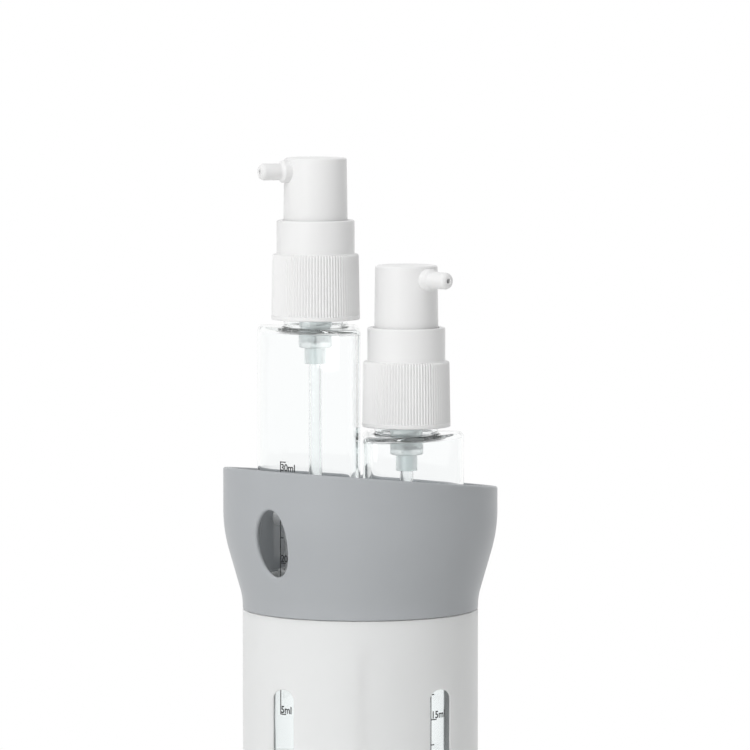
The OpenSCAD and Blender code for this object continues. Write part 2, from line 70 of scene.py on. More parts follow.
# %% Camera
sensor_mm = 36
image_px = 750
focal_px = 5590
camera_distance = 1370 * MM
camera_height = 290.75 * MM
camera_side = 3.6 * MM
camera_pitch = math.radians(4.35)
camera_turn = math.radians(1.0)

camera_data = bpy.data.cameras.new("camera")
camera_data.sensor_width = sensor_mm
camera_data.lens = sensor_mm * focal_px / image_px
camera = bpy.data.objects.new("camera", camera_data)
ahead = np.array([math.sin(camera_turn), math.cos(camera_turn)])
to_the_right = np.array([ahead[1], -ahead[0]])
camera.location = (*(camera_side * to_the_right - camera_distance * ahead), camera_height)
camera.rotation_euler = (math.pi / 2 - camera_pitch, 0, -camera_turn)
bpy.context.collection.objects.link(camera)
bpy.context.scene.camera = camera
bpy.context.scene.view_settings.view_transform = "Standard"
print(f"lens {camera_data.lens:.0f} mm")

# %% [markdown]
# ## Shader nodes
# A material is a small graph of nodes. One helper adds a node, sets its properties and fills its
# inputs, with either a value or a link from another node's output. Colours are written as sRGB
# hex values, as a paint chart gives them, and one function turns them to the linear numbers that
# the renderer counts in.


# %% Helpers for colours and nodes
def linear(hex_colour):
    """sRGB hex to linear RGBA: c / 12.92 below 0.04045, else ((c + 0.055) / 1.055) ^ 2.4."""
    srgb = np.array([int(hex_colour[i : i + 2], 16) for i in (1, 3, 5)]) / 255
    lin = np.where(srgb < 0.04045, srgb / 12.92, ((srgb + 0.055) / 1.055) ** 2.4)
    return (*lin, 1)


def add_node(tree, kind, inputs=(), **settings):
    """Adds a node of that kind; inputs are (socket, value or output socket) pairs."""
    made = tree.nodes.new(kind)
    for name, value in settings.items():
        setattr(made, name, value)
    for name, value in inputs:
        if isinstance(value, bpy.types.NodeSocket):
            tree.links.new(value, made.inputs[name])
        else:
            made.inputs[name].default_value = value
    return made


def new_material(name):
    """An empty node material, its tree and its output node."""
    material = bpy.data.materials.new(name)
    material.use_nodes = True
    material.node_tree.nodes.clear()
    output = add_node(material.node_tree, "ShaderNodeOutputMaterial")
    return material, material.node_tree, output


print("white is", linear("#FFFFFF"))

# %% [markdown]
# ## Studio
# The object stands on a pale table in soft light. A tall softbox at the front left is the key
# lamp, so the round pieces grow darker to the right. A lamp above lights the tops and the inside
# of the collar, and a wide one behind shines a little through the casing's wall. Only the key lamp
# is seen in reflections, because the others would whiten the edges of the bottles. The world fills
# the shadows evenly. Its background is white for the camera and for reflections and refractions,
# and that adds no light to the object.

# %% World
world = bpy.data.worlds.new("studio")
bpy.context.scene.world = world
world.use_nodes = True
world.node_tree.nodes.clear()
fill_level = 0.475


def is_background(tree):
    """1 for camera, glossy and transmission rays, and 0 for the rays that light the object."""
    path = add_node(tree, "ShaderNodeLightPath")
    first = add_node(
        tree,
        "ShaderNodeMath",
        [(0, path.outputs["Is Camera Ray"]), (1, path.outputs["Is Glossy Ray"])],
        operation="MAXIMUM",
    )
    both = [(0, first.outputs[0]), (1, path.outputs["Is Transmission Ray"])]
    return add_node(tree, "ShaderNodeMath", both, operation="MAXIMUM").outputs[0]


world_tree = world.node_tree
fill = add_node(world_tree, "ShaderNodeBackground", [("Strength", fill_level)])
seen = add_node(world_tree, "ShaderNodeBackground", [("Strength", 1)])
for background in (fill, seen):
    background.inputs["Color"].default_value = linear("#FFFFFF")
world_mix = add_node(
    world_tree,
    "ShaderNodeMixShader",
    [(0, is_background(world_tree)), (1, fill.outputs[0]), (2, seen.outputs[0])],
)
add_node(world_tree, "ShaderNodeOutputWorld", [("Surface", world_mix.outputs[0])])
print("fill light", fill_level)

# %% Lamps
lamp_sizes = {"key": (0.7, 1.2), "top": (0.8, 0.8), "back": (1.6, 1.0)}
lamp_powers = {"key": 8.8, "top": 4.1, "back": 10.0}
lamp_places = {"key": (-0.8, -1.08, 0.64), "top": (0.0, -0.3, 1.3), "back": (0.25, 1.5, 0.45)}
object_middle = (0, 0, 0.15)


def aim(place, target):
    """Euler angles that turn an object's -Z axis from place towards target."""
    way = np.subtract(target, place)
    flat = math.hypot(way[0], way[1])
    return (math.atan2(flat, -way[2]), 0, math.atan2(way[1], way[0]) - math.pi / 2)


for name, size in lamp_sizes.items():
    lamp_data = bpy.data.lights.new(name, "AREA")
    lamp_data.shape = "RECTANGLE"
    lamp_data.size, lamp_data.size_y = size
    lamp_data.energy = lamp_powers[name]
    lamp = bpy.data.objects.new(name, lamp_data)
    lamp.location = lamp_places[name]
    lamp.rotation_euler = aim(lamp_places[name], object_middle)
    lamp.visible_glossy = lamp.visible_transmission = name == "key"
    bpy.context.collection.objects.link(lamp)
print("lamps:", ", ".join(lamp_sizes))

# %% Table
table_size = 4.0
table_clear = 0.16
table_fade = 0.5


def table_material():
    """Matt white laminate that fades into the white background away from the object."""
    material, tree, output = new_material("matt_laminate")
    place = add_node(tree, "ShaderNodeTexCoord").outputs["Object"]
    away = add_node(tree, "ShaderNodeVectorMath", [(0, place)], operation="LENGTH")
    fade = add_node(
        tree,
        "ShaderNodeMapRange",
        [(0, away.outputs["Value"]), (1, table_clear), (2, table_fade)],
        interpolation_type="SMOOTHSTEP",
    )
    share = add_node(
        tree,
        "ShaderNodeMath",
        [(0, is_background(tree)), (1, fade.outputs[0])],
        operation="MULTIPLY",
    )
    matt = add_node(tree, "ShaderNodeBsdfPrincipled", [("Roughness", 0.6)])
    matt.inputs["Base Color"].default_value = linear("#F4F4F3")
    glow = add_node(tree, "ShaderNodeEmission", [("Strength", 1)])
    mixed = [(0, share.outputs[0]), (1, matt.outputs[0]), (2, glow.outputs[0])]
    mix = add_node(tree, "ShaderNodeMixShader", mixed)
    tree.links.new(mix.outputs[0], output.inputs["Surface"])
    return material


table_mesh = bpy.data.meshes.new("table")
half = table_size / 2
table_mesh.from_pydata(
    [(-half, -half, 0), (half, -half, 0), (half, half, 0), (-half, half, 0)],
    [],
    [(0, 1, 2, 3)],
)
table_mesh.materials.append(table_material())
table = bpy.data.objects.new("table", table_mesh)
bpy.context.collection.objects.link(table)
print("table", table_size, "m square")

# %% [markdown]
# ## Plastics
# Almost every piece is moulded plastic. Spark-eroded moulds leave a fine even grain on the casing
# and the collar, which makes them satin, and polished moulds leave the pumps glossier. The real
# grain is about 0.05 mm, too fine for the picture, so it is drawn at 0.35 mm and very shallow.
# A second, slow pattern varies the gloss a little, as handling and the melt's flow do. Light
# enters the thin white casing and comes out some way off, so its inside isn't dark.


# %% Moulded plastic
plastic_ior = 1.49
light_reach = 2.5 * MM
gloss_spread = 0.05


def moulded_plastic(name, colour, shade, roughness, grain, depth, flow=14 * MM, glow=0):
    """A moulded plastic. Grain and flow are the widths of the two noise patterns: noise
    scale = 1 / width. The colour runs from colour to shade with the slow pattern. Glow is the
    share of light that enters the plastic and comes out up to the light's reach away."""
    material, tree, output = new_material(name)
    place = add_node(tree, "ShaderNodeTexCoord").outputs["Object"]
    slow = add_node(
        tree, "ShaderNodeTexNoise", [("Vector", place), ("Scale", 1 / flow), ("Detail", 3)]
    )
    fine = add_node(
        tree, "ShaderNodeTexNoise", [("Vector", place), ("Scale", 1 / grain), ("Detail", 2)]
    )
    mix = add_node(tree, "ShaderNodeMix", [("Factor", slow.outputs["Fac"])], data_type="RGBA")
    mix.inputs["A"].default_value = linear(colour)
    mix.inputs["B"].default_value = linear(shade)
    gloss = add_node(
        tree,
        "ShaderNodeMapRange",
        [(0, slow.outputs["Fac"]), (3, roughness - gloss_spread), (4, roughness + gloss_spread)],
    )
    bump = add_node(
        tree, "ShaderNodeBump", [("Height", fine.outputs["Fac"]), ("Distance", depth)]
    )
    shader = add_node(
        tree,
        "ShaderNodeBsdfPrincipled",
        [
            ("Base Color", mix.outputs["Result"]),
            ("Roughness", gloss.outputs[0]),
            ("Normal", bump.outputs[0]),
            ("IOR", plastic_ior),
            ("Specular IOR Level", 0.12),
            ("Subsurface Weight", glow),
            ("Subsurface Radius", (1, 1, 1)),
            ("Subsurface Scale", light_reach),
        ],
    )
    tree.links.new(shader.outputs[0], output.inputs["Surface"])
    return material


# Satin polypropylene from a spark-eroded mould: soft broad highlights
casing_plastic = moulded_plastic(
    "satin_white_polypropylene", "#E5E6E6", "#E1E2E2", 0.42, 0.35 * MM, 0.006 * MM, glow=1
)
collar_plastic = moulded_plastic(
    "satin_grey_polypropylene", "#AEB1B4", "#A9ACAF", 0.32, 0.35 * MM, 0.008 * MM
)
# Polypropylene from a polished mould: a little glossier, and whiter
pump_plastic = moulded_plastic(
    "polished_white_polypropylene", "#EAEAEA", "#E6E6E6", 0.32, 0.5 * MM, 0.003 * MM
)
seal_plastic = moulded_plastic(
    "soft_polyethylene", "#F0F0EC", "#E8E8E2", 0.50, 0.4 * MM, 0.004 * MM
)
foam_plastic = moulded_plastic(
    "closed_cell_foam", "#DEDEDA", "#CFCFCA", 0.85, 0.6 * MM, 0.08 * MM, 2 * MM
)
moulded = (casing_plastic, collar_plastic, pump_plastic, seal_plastic, foam_plastic)
print("moulded plastics:", len(moulded))

# %% [markdown]
# The bottles are blow-moulded PETG, which is as clear as glass. Its walls are never quite even,
# so a slow shallow wave bends what is seen through them. The dip tube and the pump's housing are
# natural polyolefins, which let light through but blur it. At the edges and shoulders a ray can be
# caught in the wall. In life it gets out in the end, so a ray that has met more surfaces than the
# deepest is let straight out, or these edges would be black.


# %% Clear and translucent plastics
deepest = 4


def clear_plastic(name, colour, ior, roughness, clearness, wave, depth):
    """A transparent or translucent plastic: clearness is the share of light that goes through,
    and wave the width of the uneven wall's pattern. What is seen through it is bent. Shadow rays,
    diffuse rays and caught rays go straight on through a filter of colour x clearness, so the
    inside of a bottle is lit without noise."""
    material, tree, output = new_material(name)
    place = add_node(tree, "ShaderNodeTexCoord").outputs["Object"]
    noise = add_node(
        tree, "ShaderNodeTexNoise", [("Vector", place), ("Scale", 1 / wave), ("Detail", 1)]
    )
    bump = add_node(
        tree, "ShaderNodeBump", [("Height", noise.outputs["Fac"]), ("Distance", depth)]
    )
    shader = add_node(
        tree,
        "ShaderNodeBsdfPrincipled",
        [
            ("Base Color", linear(colour)),
            ("IOR", ior),
            ("Roughness", roughness),
            ("Transmission Weight", clearness),
            ("Normal", bump.outputs[0]),
        ],
    )
    path = add_node(tree, "ShaderNodeLightPath")
    lights = [(0, path.outputs["Is Shadow Ray"]), (1, path.outputs["Is Diffuse Ray"])]
    lit = add_node(tree, "ShaderNodeMath", lights, operation="MAXIMUM")
    depth_passed = [(0, path.outputs["Ray Depth"]), (1, deepest)]
    caught = add_node(tree, "ShaderNodeMath", depth_passed, operation="GREATER_THAN")
    either = [(0, lit.outputs[0]), (1, caught.outputs[0])]
    straight = add_node(tree, "ShaderNodeMath", either, operation="MAXIMUM")
    passed = (*(clearness * c for c in linear(colour)[:3]), 1)
    filtered = add_node(tree, "ShaderNodeBsdfTransparent", [("Color", passed)])
    both = [(0, straight.outputs[0]), (1, shader.outputs[0]), (2, filtered.outputs[0])]
    mix = add_node(tree, "ShaderNodeMixShader", both)
    tree.links.new(mix.outputs[0], output.inputs["Surface"])
    return material


bottle_plastic = clear_plastic("clear_petg", "#FDFEFE", 1.45, 0.01, 1.0, 9 * MM, 0.03 * MM)
tube_plastic = clear_plastic(
    "natural_polyethylene", "#FEFFFF", 1.51, 0.12, 0.97, 3 * MM, 0.02 * MM
)
housing_plastic = clear_plastic(
    "tinted_polypropylene", "#F9FDFD", 1.49, 0.35, 0.85, 2 * MM, 0.02 * MM
)
# Pieces of these two hardly dim the light, so they stay out of shadows and bounces
see_through = (bottle_plastic, tube_plastic)
print("clear plastics:", len((*see_through, housing_plastic)))


# %% Steel and ink
def bright_steel():
    """Drawn stainless wire: fine scratches along it make the gloss uneven."""
    material, tree, output = new_material("stainless_steel")
    place = add_node(tree, "ShaderNodeTexCoord").outputs["Object"]
    noise = add_node(
        tree, "ShaderNodeTexNoise", [("Vector", place), ("Scale", 1 / (0.4 * MM)), ("Detail", 3)]
    )
    gloss = add_node(
        tree, "ShaderNodeMapRange", [(0, noise.outputs["Fac"]), (3, 0.15), (4, 0.35)]
    )
    shader = add_node(
        tree,
        "ShaderNodeBsdfPrincipled",
        [("Base Color", linear("#C9CACB")), ("Metallic", 1), ("Roughness", gloss.outputs[0])],
    )
    tree.links.new(shader.outputs[0], output.inputs["Surface"])
    return material


def printing_ink():
    """Screen-printed black ink, a little thinner here and there."""
    material, tree, output = new_material("screen_ink")
    place = add_node(tree, "ShaderNodeTexCoord").outputs["Object"]
    noise = add_node(
        tree, "ShaderNodeTexNoise", [("Vector", place), ("Scale", 1 / (0.5 * MM)), ("Detail", 2)]
    )
    mix = add_node(tree, "ShaderNodeMix", [("Factor", noise.outputs["Fac"])], data_type="RGBA")
    mix.inputs["A"].default_value = linear("#1D1F20")
    mix.inputs["B"].default_value = linear("#3A3D3F")
    shader = add_node(
        tree,
        "ShaderNodeBsdfPrincipled",
        [("Base Color", mix.outputs["Result"]), ("Roughness", 0.55)],
    )
    tree.links.new(shader.outputs[0], output.inputs["Surface"])
    return material


steel = bright_steel()
ink = printing_ink()
print("materials so far:", len(bpy.data.materials))

# %% [markdown]
# ## Surfaces from numbers
# Every new piece is made of sheets. A sheet is a grid of points, rows that follow a profile and
# columns that go round, worked out as one array in millimetres. Quads join each point to its
# neighbours. Where rows meet at a pole, or two sheets share an edge, the points that coincide
# are merged.


# %% Sheets, outlines and pieces
def box_mm(node):
    """Lowest and highest corner of a CAD node at rest, in millimetres."""
    return tuple(np.array(corner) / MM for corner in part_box(node))


def sheet(points, keep=None):
    """Quads between neighbouring points of a grid whose columns close into a ring. keep says for
    each quad, by row and column, whether it stays."""
    rows, columns = points.shape[:2]
    row, column = np.meshgrid(np.arange(rows - 1), np.arange(columns), indexing="ij")
    here, right = row * columns + column, row * columns + (column + 1) % columns
    quads = np.stack([here, right, right + columns, here + columns], -1)
    return points.reshape(-1, 3), quads.reshape(-1, 4) if keep is None else quads[keep]


def fillet(corners, steps=5):
    """An outline with rounded corners. Each corner is (across, up, radius). The arc starts on both
    sides at radius / tan(half the corner's angle), and its points are its centre plus the first
    arm, turned by equal steps."""
    corners = np.array(corners, float)
    at = corners[:, 0] + 1j * corners[:, 1]
    path = [at[:1]]
    for before, here, after, radius in zip(at, at[1:], at[2:], corners[1:-1, 2]):
        back, on = (before - here) / abs(before - here), (after - here) / abs(after - here)
        half_angle = abs(np.angle(on / back)) / 2
        arm = radius / np.tan(half_angle)
        centre = here + (back + on) / abs(back + on) * radius / np.sin(half_angle)
        first = here + back * arm - centre
        turn = np.angle((here + on * arm - centre) / first) if radius else 0
        path.append(centre + first * np.exp(1j * turn * np.linspace(0, 1, steps + 1)))
    path = np.concatenate([*path, at[-1:]])
    keep = np.concatenate([[True], abs(np.diff(path)) > 1e-9])
    return np.stack([path.real, path.imag], -1)[keep]


def around(count):
    """That many equal angles of a full turn."""
    return np.arange(count) * 2 * np.pi / count


def turned(radius, height, angles, axis=(0, 0)):
    """Points at x = axis x + r cos(a), y = axis y + r sin(a), z = height, for arrays of rows."""
    points = [axis[0] + radius * np.cos(angles), axis[1] + radius * np.sin(angles)]
    return np.stack([*points, height + 0 * radius + 0 * angles], -1)


def lathe(profile, angles, axis=(0, 0)):
    """A profile of (radius, height) turned about an upright axis."""
    return sheet(turned(profile[:, :1], profile[:, 1:], angles, axis))


merge_distance = 0.001 * MM


def new_object(name, points, faces, material, body):
    """An object of points in millimetres and faces, of one material, which rides on a body."""
    mesh = bpy.data.meshes.new(name)
    mesh.from_pydata((points * MM).tolist(), [], faces)
    mesh.materials.append(material)
    piece = bpy.data.objects.new(name, mesh)
    bpy.context.collection.objects.link(piece)
    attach(piece, body)
    return piece


def add_piece(name, sheets, material, body, nodes, slot, flat_angle=40):
    """Makes one object from sheets, in the place of CAD nodes. Points closer than the merge
    distance become one, points without faces go, all faces turn outwards, and edges sharper than
    flat_angle stay sharp."""
    points, quads = zip(*sheets)
    starts = np.cumsum([0, *map(len, points[:-1])])
    quads = np.concatenate([grid + start for grid, start in zip(quads, starts)])
    used, quads = np.unique(quads, return_inverse=True)
    quads = quads.reshape(-1, 4)
    piece = new_object(name, np.concatenate(points)[used], quads.tolist(), material, body)
    mesh = piece.data
    work = bmesh.new()
    work.from_mesh(mesh)
    bmesh.ops.remove_doubles(work, verts=work.verts, dist=merge_distance)
    bmesh.ops.recalc_face_normals(work, faces=work.faces)
    work.to_mesh(mesh)
    work.free()
    mesh.shade_smooth()
    mesh.set_sharp_from_angle(angle=math.radians(flat_angle))
    if material in see_through:
        piece.visible_diffuse = piece.visible_shadow = False
    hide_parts(*nodes)
    edge_of_corner = np.empty(len(mesh.loops), np.int32)
    mesh.loops.foreach_get("edge_index", edge_of_corner)
    faces_at_edge = np.bincount(edge_of_corner, minlength=len(mesh.edges))
    open_edges = np.count_nonzero(faces_at_edge != 2)
    print(f"{name}: {len(mesh.polygons)} faces, {open_edges} open edges")
    return piece


# %% [markdown]
# ## A round wall with holes
# The casing has four long windows and the collar an oval outlet, all cut straight through a round
# wall. Around each hole a rectangular patch of the wall's grid is left out. Rings of points fill
# it: they start on the patch's edge and close in on the hole, turn over its rounded edge, go
# through the wall and come out on the other side in the same way. So the wall needs no boolean,
# and the hole's edge is a true rounding that catches the light.


# %% Walls with holes
nearly_0 = 1e-6
closing_in = 0.8


def spaced(stops, step):
    """Equal steps of at most that size between each stop and the next, all stops included."""
    parts = [
        np.linspace(a, b, math.ceil((b - a) / step), endpoint=False)
        for a, b in zip(stops, stops[1:])
    ]
    return np.concatenate([*parts, stops[-1:]])


def wall(radius, angles, levels, patches):
    """A round wall of rows at those levels, with the patches (first and last column, lowest and
    highest level) left out."""
    keep = np.ones((len(levels) - 1, len(angles)), bool)
    for first, last, low, high in patches:
        inside = (levels[:-1] > low - nearly_0) & (levels[1:] < high + nearly_0)
        keep[inside, first:last] = False
    return sheet(turned(radius(levels)[:, None], levels[:, None], angles), keep)


def patch_loop(angles, levels, patch):
    """The edge of a patch as one loop of (angle, level), each corner once."""
    first, last, bottom, top = patch
    across = angles[first : last + 1]
    up = levels[(levels > bottom - nearly_0) & (levels < top + nearly_0)]
    low = np.stack([across, 0 * across + bottom], -1)
    right = np.stack([0 * up + across[-1], up], -1)
    high = np.stack([across[::-1], 0 * across + top], -1)
    left = np.stack([0 * up + across[0], up[::-1]], -1)
    return np.concatenate([low[:-1], right[:-1], high[:-1], left[:-1]])


def stadium(middle, half_width, low, high):
    """A straight slot with round ends. The nearest point of its middle line, the height clipped
    to low and high, is the centre, and the edge is half a width away from it."""

    def edge(across, up):
        centre = np.clip(up, low + half_width, high - half_width)
        way = np.stack([across - middle, up - centre], -1)
        way /= np.linalg.norm(way, axis=-1, keepdims=True)
        return middle + half_width * way[:, 0], centre + half_width * way[:, 1], way

    return edge


def oval(half_width, half_height, middle):
    """An upright ellipse. Its angle is atan2(up / half height, across / half width)."""

    def edge(across, up):
        t = np.arctan2((up - middle) / half_height, across / half_width)
        way = np.stack([np.cos(t) / half_width, np.sin(t) / half_height], -1)
        way /= np.linalg.norm(way, axis=-1, keepdims=True)
        return half_width * np.cos(t), middle + half_height * np.sin(t), way

    return edge


def hole_rings(loop, hole, aim_angle, outer, inner, round_across, round_deep, rings=6, steps=6):
    """Rows of points from the patch's edge on the outer wall through the hole to the patch's edge
    on the inner wall. On the wall a row mixes the patch's loop with the hole's edge. Over the
    edge it follows a quarter of an ellipse, 1 - sin across and 1 - cos deep. A point that lies
    across from the hole's direction is at depth sqrt(radius^2 - across^2)."""
    rows = []
    for radius, side in ((outer, 1), (inner, -1)):
        near = radius(loop[:, 1])
        edge_u, edge_z, way = hole(near * np.sin(loop[:, 0] - aim_angle), loop[:, 1])
        wide = round_across(way[:, 1])
        lip_u, lip_z = edge_u + wide * way[:, 0], edge_z + wide * way[:, 1]
        lip = np.stack([aim_angle + np.arcsin(lip_u / radius(lip_z)), lip_z], -1)
        shares = np.linspace(0, 1, rings)[:, None, None] ** closing_in
        flat = loop + (lip - loop) * shares
        flat_wall = turned(radius(flat[..., 1]), flat[..., 1], flat[..., 0])
        turn = np.linspace(0, np.pi / 2, steps)[1:, None]
        u = edge_u + wide * (1 - np.sin(turn)) * way[:, 0]
        z = edge_z + wide * (1 - np.sin(turn)) * way[:, 1]
        deep = np.sqrt(radius(z) ** 2 - u**2) - side * round_deep * (1 - np.cos(turn))
        x = deep * np.cos(aim_angle) - u * np.sin(aim_angle)
        y = deep * np.sin(aim_angle) + u * np.cos(aim_angle)
        both = np.concatenate([flat_wall, np.stack([x, y, z], -1)])
        rows.append(both if side == 1 else both[::-1])
    return sheet(np.concatenate(rows))


print("walls with holes are ready")

# %% [markdown]
# ## Casing
# The casing is one moulding: a foot ring, a floor, the wall with its four windows, four upright
# ribs that keep the bottles from turning, and the thinner spigot on which the collar turns.

# %% Casing
casing_high = box_mm("casing_body")[1]
casing_wall, spigot_wall, spigot_h = 2.2, 1.1, 7.2
casing_r = casing_high[0]
bore_r = casing_r - casing_wall
spigot_r = bore_r + spigot_wall
foot_w, foot_h, floor_z = 4.5, 2.4, 4.6
spigot_top = casing_high[2]
seam_z = spigot_top - spigot_h
window_low, window_high = 17.6, seam_z - 17.5
window_x = bore_r * math.sin(math.pi / 4)
window_half_width, window_round = 2.4, 0.35
rib_foot, rib_top = 3.5, seam_z - 8
rib_nose_x, rib_half_width = 24.746, 0.9
wall_columns = 288
wall_angles = around(wall_columns)
wall_step = 2 * np.pi / wall_columns
low_level = 8


def same(radius):
    """A wall whose radius is the same at every height."""
    return lambda height: radius + 0 * height


def ring_arc(radius, half_turn):
    """The section of the snap bead or of its groove: an arc about a point just inside the
    spigot, 5 mm above the seam, from -half turn to half turn degrees."""
    turn = np.radians(np.linspace(-half_turn, half_turn, 9))
    arc = np.stack([np.cos(turn), np.sin(turn)], -1)
    return radius * arc + (spigot_r - 0.1, seam_z + 5)


foot = fillet(
    [
        (casing_r, low_level, 0),
        (casing_r, 0, 1),
        (casing_r - foot_w, 0, 0.4),
        (casing_r - foot_w, foot_h, 0.5),
        (0, foot_h, 0),
    ]
)
floor = fillet([(bore_r, low_level, 0), (bore_r, floor_z, 0.8), (0, floor_z, 0)])
bead = ring_arc(0.4, 75.5)
wall_top = seam_z - 3
ledge = [(casing_r, wall_top, 0), (casing_r, seam_z, 0.25), (spigot_r, seam_z, 0.1), (*bead[0], 0)]
chamfer = 0.37
mouth = [
    (*bead[-1], 0),
    (spigot_r, spigot_top - chamfer, 0.2),
    (spigot_r - chamfer, spigot_top, 0.2),
    (bore_r, spigot_top, 0.15),
    (bore_r, wall_top, 0),
]
top_profile = np.concatenate([fillet(ledge), bead[1:-1], fillet(mouth)])
patch_low, patch_high = window_low - 2.6, window_high + 2.5
wall_levels = spaced([low_level, patch_low, patch_high, wall_top], 2)
near_column, far_column = 25, 45
back_column, front_column = wall_columns // 4, wall_columns * 3 // 4
window_patches = []
window_holes = []


def window_edge(up):
    """Width of the rounding round a window: the same all the way round."""
    return window_round + 0 * up


for aim_column in (back_column, front_column):
    aim_angle = aim_column * wall_step
    for sign in (-1, 1):
        ends = sorted((aim_column + sign * near_column, aim_column + sign * far_column))
        patch = (*ends, patch_low, patch_high)
        hole = stadium(sign * window_x, window_half_width, window_low, window_high)
        loop = patch_loop(wall_angles, wall_levels, patch)
        walls = same(casing_r), same(bore_r)
        window_patches.append(patch)
        window_holes.append(hole_rings(loop, hole, aim_angle, *walls, window_edge, window_round))
casing_walls = [
    wall(same(radius), wall_angles, wall_levels, window_patches) for radius in (casing_r, bore_r)
]


def guide_rib(turn):
    """An upright rib with a round nose: a half circle of points and the two corners at its root,
    which lie inside the casing's wall. Its rows go from inside the floor to a top that slopes at
    45 degrees down to the nose, and the first and last are closed to a line (share 0)."""
    nose = np.radians(np.linspace(90, 270, 13))
    root = [bore_r + 1]
    x = np.concatenate([root, rib_nose_x + rib_half_width * np.cos(nose), root])
    y = rib_half_width * np.concatenate([[1], np.sin(nose), [-1]])
    foot_row = 0 * x + rib_foot
    slope = rib_top - np.clip(bore_r - x, 0, None)
    rows = [(0, foot_row), (1, foot_row), (1, slope - 0.4), (0.7, slope - 0.1), (0, slope)]
    grid = np.stack([np.stack([x, share * y, z], -1) for share, z in rows])
    c, s = math.cos(turn), math.sin(turn)
    return sheet(grid @ np.array([[c, s, 0], [-s, c, 0], [0, 0, 1]]))


ribs = [guide_rib(quarter * math.pi / 2) for quarter in range(4)]
casing_sheets = [lathe(profile, wall_angles) for profile in (foot, floor, top_profile)]
add_piece(
    "casing",
    [*casing_sheets, *casing_walls, *window_holes, *ribs],
    casing_plastic,
    "casing",
    ["casing_body"],
    "casing_white",
)

# %% [markdown]
# ## Collar
# The collar's wall bends outwards in a hollow arc, runs straight, and bends back upright in a
# wider arc. Its rim is cut along a slope, highest over the outlet. The lower lip of the outlet is
# rounded more than the rest, so a drop runs off it cleanly. All its heights are counted from the
# seam between casing and collar.

# %% Collar
rim_r = box_mm("head_collar")[1][0]
collar_wall = 1.4
rim_z = seam_z + 32.5
rim_round = 0.55
rim_slope = math.tan(math.radians(6.2))
outlet_angle = math.radians(228)
outlet_z = seam_z + 18.4
outlet_half_width, outlet_half_height = 4.85, 8.25
flare_z, flare_h = seam_z + 0.75, 23.73
hollow_r, round_r = 15, 36
bend = np.radians(np.linspace(0, 16, 33))
arc_across, arc_up = 1 - np.cos(bend), np.sin(bend)
low_arc = np.stack([casing_r + hollow_r * arc_across, flare_z + hollow_r * arc_up], -1)
high_arc = np.stack([rim_r - round_r * arc_across, flare_z + flare_h - round_r * arc_up], -1)
flare = np.concatenate([low_arc, high_arc[::-1]])


def collar_outer(height):
    """The collar's outer radius at a height."""
    return np.interp(height, flare[:, 1], flare[:, 0])


def collar_inner(height):
    """The collar's inner radius, one wall's thickness less."""
    return collar_outer(height) - collar_wall


bore_in_collar = spigot_r + 0.1
collar_low_z, band_top, step_z, inner_low = seam_z + np.array([0.15, 1.2, 7.5, 8])
patch_top, wall_high = seam_z + 27.8, seam_z + 28.1
groove = ring_arc(0.5, 66.4)
band = [
    (collar_outer(band_top), band_top, 0),
    (casing_r, collar_low_z, 0.25),
    (bore_in_collar, collar_low_z, 0.1),
    (*groove[0], 0),
]
step = [
    (*groove[-1], 0),
    (bore_in_collar, step_z, 0.1),
    (collar_inner(step_z), step_z, 0),
    (collar_inner(inner_low), inner_low, 0),
]
band_profile = np.concatenate([fillet(band), groove[1:-1], fillet(step)])
outlet_patch = (171, 194, inner_low, patch_top)
outer_levels = spaced([band_top, inner_low, patch_top, wall_high], 0.75)
inner_levels = outer_levels[outer_levels > inner_low - nearly_0]
outlet_loop = patch_loop(wall_angles, outer_levels, outlet_patch)
outlet = oval(outlet_half_width, outlet_half_height, outlet_z)


def outlet_round(up):
    """Width of the rounding round the outlet: more where the edge faces down."""
    return 0.7 + 1.2 * np.clip(-up, 0, 1) ** 2


outlet_walls = collar_outer, collar_inner
outlet_rings = hole_rings(
    outlet_loop, outlet, outlet_angle, *outlet_walls, outlet_round, 0.75, rings=8, steps=8
)
rim_inner = rim_r - collar_wall
rim_profile = fillet(
    [(rim_r, -0.7, 0), (rim_r, 0, rim_round), (rim_inner, 0, rim_round), (rim_inner, -0.7, 0)]
)
rise = rim_slope * np.cos(wall_angles - outlet_angle)
rim_rows = turned(
    rim_profile[:, :1], rim_z + rim_profile[:, :1] * rise + rim_profile[:, 1:], wall_angles
)
wall_ends = turned(np.array([[rim_r], [rim_inner]]), wall_high, wall_angles)
collar_sheets = [
    lathe(band_profile, wall_angles),
    wall(collar_outer, wall_angles, outer_levels, [outlet_patch]),
    wall(collar_inner, wall_angles, inner_levels, [outlet_patch]),
    outlet_rings,
    sheet(np.concatenate([wall_ends[:1], rim_rows, wall_ends[1:]])),
]
add_piece("collar", collar_sheets, collar_plastic, "head", ["head_collar"], "head_grey")

# %% [markdown]
# ## The four units
# All four bottles with their pumps are the same. Each is worked out once, standing on z = 0 in
# the quadrant between +X and +Y, and then turned by a quarter turn and lifted to its place. The
# place is read from the imported model: the lowest corner of the bottle.

# %% Places of the units
unit_turns = {1: 180, 2: 270, 3: 0, 4: 90}
shoulder = 106.8
pump_offset = 11.0512
pump_axis = (pump_offset, pump_offset)
bases = {unit: box_mm(f"bottle_{unit}")[0][2] for unit in unit_turns}


def placed(sheets, unit):
    """The sheets of the first quadrant, turned about Z and lifted to the unit's place."""
    angle = math.radians(unit_turns[unit])
    c, s = round(math.cos(angle)), round(math.sin(angle))
    turn = np.array([[c, s, 0], [-s, c, 0], [0, 0, 1]])
    return [(points @ turn + (0, 0, bases[unit]), quads) for points, quads in sheets]


